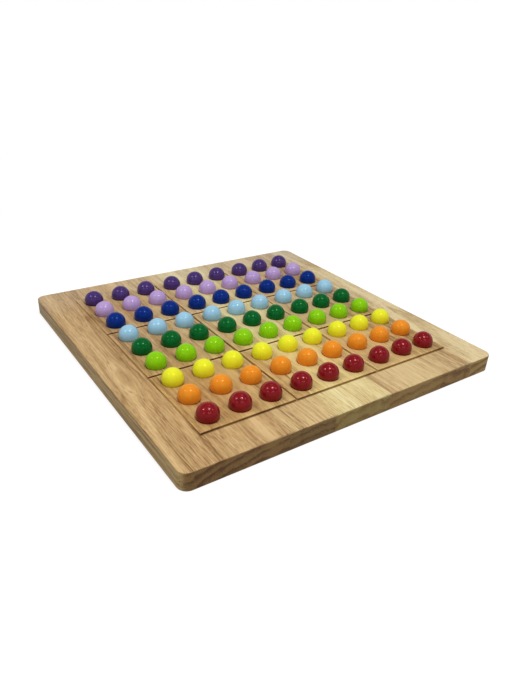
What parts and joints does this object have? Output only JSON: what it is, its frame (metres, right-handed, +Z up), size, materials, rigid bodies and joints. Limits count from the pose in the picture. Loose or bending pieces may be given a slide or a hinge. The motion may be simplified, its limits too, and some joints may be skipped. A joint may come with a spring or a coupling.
{
  "type": "sudoku board",
  "caption": "Square wooden game board with raised boxes of round sockets, each holding a loose coloured ball that lifts out, for playing sudoku with colours.",
  "frame": {"origin": "middle of the board's flat underside", "axes": "+Z up from the underside to the balls, -Y towards the front edge, +X to the right; the staves run along Y"},
  "size_m": [0.35, 0.35, 0.0327],
  "materials": {
    "left_stave_wood": "satin oiled light hardwood",
    "inner_stave_wood": "satin oiled light hardwood",
    "pale_stave_wood": "satin oiled light hardwood",
    "wide_stave_wood": "satin oiled light hardwood",
    "right_stave_wood": "satin oiled light hardwood",
    "red_lacquer": "red gloss lacquer on a turned wooden ball",
    "orange_lacquer": "orange gloss lacquer on a turned wooden ball",
    "yellow_lacquer": "yellow gloss lacquer on a turned wooden ball",
    "lime_lacquer": "lime gloss lacquer on a turned wooden ball",
    "green_lacquer": "green gloss lacquer on a turned wooden ball",
    "sky_lacquer": "sky gloss lacquer on a turned wooden ball",
    "blue_lacquer": "blue gloss lacquer on a turned wooden ball",
    "lilac_lacquer": "lilac gloss lacquer on a turned wooden ball",
    "purple_lacquer": "purple gloss lacquer on a turned wooden ball"
  },
  "bodies": {
    "board": {"left_stave": "left_stave_wood", "inner_stave": "inner_stave_wood", "pale_stave": "pale_stave_wood", "wide_stave": "wide_stave_wood", "right_stave": "right_stave_wood"},
    "red_balls_left": {"red_balls_left": "red_lacquer"},
    "red_balls_middle": {"red_balls_middle": "red_lacquer"},
    "red_balls_right": {"red_balls_right": "red_lacquer"},
    "orange_balls_left": {"orange_balls_left": "orange_lacquer"},
    "orange_balls_middle": {"orange_balls_middle": "orange_lacquer"},
    "orange_balls_right": {"orange_balls_right": "orange_lacquer"},
    "yellow_balls_left": {"yellow_balls_left": "yellow_lacquer"},
    "yellow_balls_middle": {"yellow_balls_middle": "yellow_lacquer"},
    "yellow_balls_right": {"yellow_balls_right": "yellow_lacquer"},
    "lime_balls_left": {"lime_balls_left": "lime_lacquer"},
    "lime_balls_middle": {"lime_balls_middle": "lime_lacquer"},
    "lime_balls_right": {"lime_balls_right": "lime_lacquer"},
    "green_balls_left": {"green_balls_left": "green_lacquer"},
    "green_balls_middle": {"green_balls_middle": "green_lacquer"},
    "green_balls_right": {"green_balls_right": "green_lacquer"},
    "sky_balls_left": {"sky_balls_left": "sky_lacquer"},
    "sky_balls_middle": {"sky_balls_middle": "sky_lacquer"},
    "sky_balls_right": {"sky_balls_right": "sky_lacquer"},
    "blue_balls_left": {"blue_balls_left": "blue_lacquer"},
    "blue_balls_middle": {"blue_balls_middle": "blue_lacquer"},
    "blue_balls_right": {"blue_balls_right": "blue_lacquer"},
    "lilac_balls_left": {"lilac_balls_left": "lilac_lacquer"},
    "lilac_balls_middle": {"lilac_balls_middle": "lilac_lacquer"},
    "lilac_balls_right": {"lilac_balls_right": "lilac_lacquer"},
    "purple_balls_left": {"purple_balls_left": "purple_lacquer"},
    "purple_balls_middle": {"purple_balls_middle": "purple_lacquer"},
    "purple_balls_right": {"purple_balls_right": "purple_lacquer"}
  },
  "joints": [
    {"name": "lift_red_balls_left", "type": "slide", "parent": "board", "child": "red_balls_left", "axis": [0, 0, 1], "range_m": [0, 0.03]},
    {"name": "lift_red_balls_middle", "type": "slide", "parent": "board", "child": "red_balls_middle", "axis": [0, 0, 1], "range_m": [0, 0.03]},
    {"name": "lift_red_balls_right", "type": "slide", "parent": "board", "child": "red_balls_right", "axis": [0, 0, 1], "range_m": [0, 0.03]},
    {"name": "lift_orange_balls_left", "type": "slide", "parent": "board", "child": "orange_balls_left", "axis": [0, 0, 1], "range_m": [0, 0.03]},
    {"name": "lift_orange_balls_middle", "type": "slide", "parent": "board", "child": "orange_balls_middle", "axis": [0, 0, 1], "range_m": [0, 0.03]},
    {"name": "lift_orange_balls_right", "type": "slide", "parent": "board", "child": "orange_balls_right", "axis": [0, 0, 1], "range_m": [0, 0.03]},
    {"name": "lift_yellow_balls_left", "type": "slide", "parent": "board", "child": "yellow_balls_left", "axis": [0, 0, 1], "range_m": [0, 0.03]},
    {"name": "lift_yellow_balls_middle", "type": "slide", "parent": "board", "child": "yellow_balls_middle", "axis": [0, 0, 1], "range_m": [0, 0.03]},
    {"name": "lift_yellow_balls_right", "type": "slide", "parent": "board", "child": "yellow_balls_right", "axis": [0, 0, 1], "range_m": [0, 0.03]},
    {"name": "lift_lime_balls_left", "type": "slide", "parent": "board", "child": "lime_balls_left", "axis": [0, 0, 1], "range_m": [0, 0.03]},
    {"name": "lift_lime_balls_middle", "type": "slide", "parent": "board", "child": "lime_balls_middle", "axis": [0, 0, 1], "range_m": [0, 0.03]},
    {"name": "lift_lime_balls_right", "type": "slide", "parent": "board", "child": "lime_balls_right", "axis": [0, 0, 1], "range_m": [0, 0.03]},
    {"name": "lift_green_balls_left", "type": "slide", "parent": "board", "child": "green_balls_left", "axis": [0, 0, 1], "range_m": [0, 0.03]},
    {"name": "lift_green_balls_middle", "type": "slide", "parent": "board", "child": "green_balls_middle", "axis": [0, 0, 1], "range_m": [0, 0.03]},
    {"name": "lift_green_balls_right", "type": "slide", "parent": "board", "child": "green_balls_right", "axis": [0, 0, 1], "range_m": [0, 0.03]},
    {"name": "lift_sky_balls_left", "type": "slide", "parent": "board", "child": "sky_balls_left", "axis": [0, 0, 1], "range_m": [0, 0.03]},
    {"name": "lift_sky_balls_middle", "type": "slide", "parent": "board", "child": "sky_balls_middle", "axis": [0, 0, 1], "range_m": [0, 0.03]},
    {"name": "lift_sky_balls_right", "type": "slide", "parent": "board", "child": "sky_balls_right", "axis": [0, 0, 1], "range_m": [0, 0.03]},
    {"name": "lift_blue_balls_left", "type": "slide", "parent": "board", "child": "blue_balls_left", "axis": [0, 0, 1], "range_m": [0, 0.03]},
    {"name": "lift_blue_balls_middle", "type": "slide", "parent": "board", "child": "blue_balls_middle", "axis": [0, 0, 1], "range_m": [0, 0.03]},
    {"name": "lift_blue_balls_right", "type": "slide", "parent": "board", "child": "blue_balls_right", "axis": [0, 0, 1], "range_m": [0, 0.03]},
    {"name": "lift_lilac_balls_left", "type": "slide", "parent": "board", "child": "lilac_balls_left", "axis": [0, 0, 1], "range_m": [0, 0.03]},
    {"name": "lift_lilac_balls_middle", "type": "slide", "parent": "board", "child": "lilac_balls_middle", "axis": [0, 0, 1], "range_m": [0, 0.03]},
    {"name": "lift_lilac_balls_right", "type": "slide", "parent": "board", "child": "lilac_balls_right", "axis": [0, 0, 1], "range_m": [0, 0.03]},
    {"name": "lift_purple_balls_left", "type": "slide", "parent": "board", "child": "purple_balls_left", "axis": [0, 0, 1], "range_m": [0, 0.03]},
    {"name": "lift_purple_balls_middle", "type": "slide", "parent": "board", "child": "purple_balls_middle", "axis": [0, 0, 1], "range_m": [0, 0.03]},
    {"name": "lift_purple_balls_right", "type": "slide", "parent": "board", "child": "purple_balls_right", "axis": [0, 0, 1], "range_m": [0, 0.03]}
  ]
}
